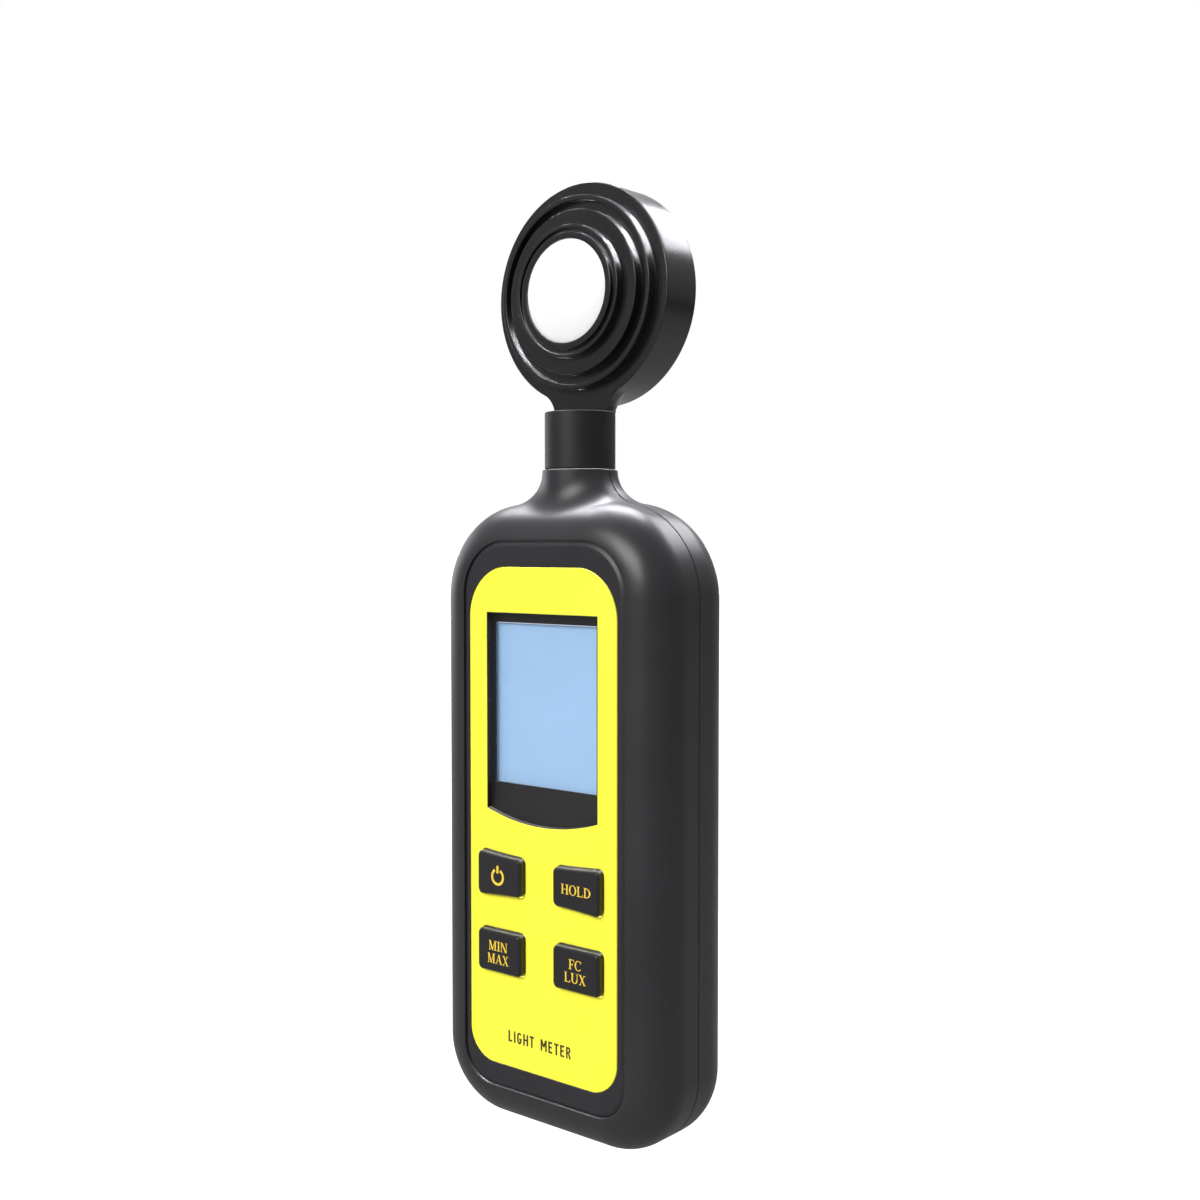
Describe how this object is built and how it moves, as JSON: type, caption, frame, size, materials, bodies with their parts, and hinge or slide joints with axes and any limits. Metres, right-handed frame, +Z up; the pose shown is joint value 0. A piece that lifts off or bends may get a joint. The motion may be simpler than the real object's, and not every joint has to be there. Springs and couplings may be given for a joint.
{
  "type": "handheld light meter",
  "caption": "Handheld light meter: rounded slab body with a display and push keys, and a round stepped sensor head with a white dome on a swivel neck.",
  "frame": {"origin": "on the head's swivel axis, in the parting plane of the two shells, at the bottom of the body; the box's bottom centre is 0.6 mm in front of it, because the keys stand proud", "axes": "+Z up along the swivel axis, towards the sensor head; -Y out of the front with the display; +X to the right as seen from the front"},
  "size_m": [0.05, 0.0217, 0.1602],
  "materials": {
    "shell": "satin moulded ABS with a fine grain",
    "face_plate": "satin moulded ABS",
    "panel_yellow": "printed matt film on a thin sheet",
    "display_black": "satin black",
    "clear_window": "clear, anti-glare",
    "display": "pale blue unlit display",
    "white_plastic": "smooth white moulding",
    "contact_rubber": "layered conductive silicone",
    "circuit_board": "green solder mask",
    "chip_black": "moulded epoxy",
    "steel": "zinc plated",
    "spring_steel": "bright nickel plate",
    "brass": "turned brass",
    "silicone": "grey silicone",
    "cell_wrap": "printed film wrap",
    "key_plastic": "smooth black moulding",
    "neck_plastic": "matt black",
    "head_plastic": "semi-gloss black",
    "diffuser": "opal white acrylic",
    "filter_glass": "polished green glass",
    "cable": "black PVC"
  },
  "bodies": {
    "housing": {"front_shell": "shell", "rear_shell": "shell", "face_plate": "face_plate", "label_panel": "panel_yellow", "display_bezel": "display_black", "display_window": "clear_window", "lcd_glass": "display", "light_guide": "white_plastic", "display_holder": "white_plastic", "zebra_strip": "contact_rubber", "main_board": "circuit_board", "board_components": "chip_black", "dome_switches": "spring_steel", "keypad_membrane": "silicone", "cable_header": "white_plastic", "board_screws": "steel", "case_screws": "steel", "tripod_insert": "brass", "battery_springs": "spring_steel", "battery_contacts": "spring_steel", "battery_cells": "cell_wrap"},
    "battery_door": {"battery_door": "shell"},
    "key_power": {"key_power": "key_plastic"},
    "key_hold": {"key_hold": "key_plastic"},
    "key_min_max": {"key_min_max": "key_plastic"},
    "key_units": {"key_units": "key_plastic"},
    "sensor_head": {"swivel_stem": "neck_plastic", "friction_ring": "cable", "head_shell": "head_plastic", "head_back_cover": "head_plastic", "diffuser_ring": "head_plastic", "diffuser_dome": "diffuser", "optical_filter": "filter_glass", "photodiode": "chip_black", "sensor_board": "circuit_board", "head_screws": "steel", "sensor_cable": "cable"}
  },
  "joints": [
    {"name": "head_swivel", "type": "hinge", "parent": "housing", "child": "sensor_head", "pos_m": [0, 0, 0.112], "axis": [0, 0, 1], "range_deg": [-135, 135]},
    {"name": "door_slide", "type": "slide", "parent": "housing", "child": "battery_door", "axis": [0, 0, -1], "range_m": [0, 0.008]},
    {"name": "key_power_press", "type": "slide", "parent": "housing", "child": "key_power", "axis": [0, 1, 0], "range_m": [0, 0.0006]},
    {"name": "key_hold_press", "type": "slide", "parent": "housing", "child": "key_hold", "axis": [0, 1, 0], "range_m": [0, 0.0006]},
    {"name": "key_min_max_press", "type": "slide", "parent": "housing", "child": "key_min_max", "axis": [0, 1, 0], "range_m": [0, 0.0006]},
    {"name": "key_units_press", "type": "slide", "parent": "housing", "child": "key_units", "axis": [0, 1, 0], "range_m": [0, 0.0006]}
  ]
}
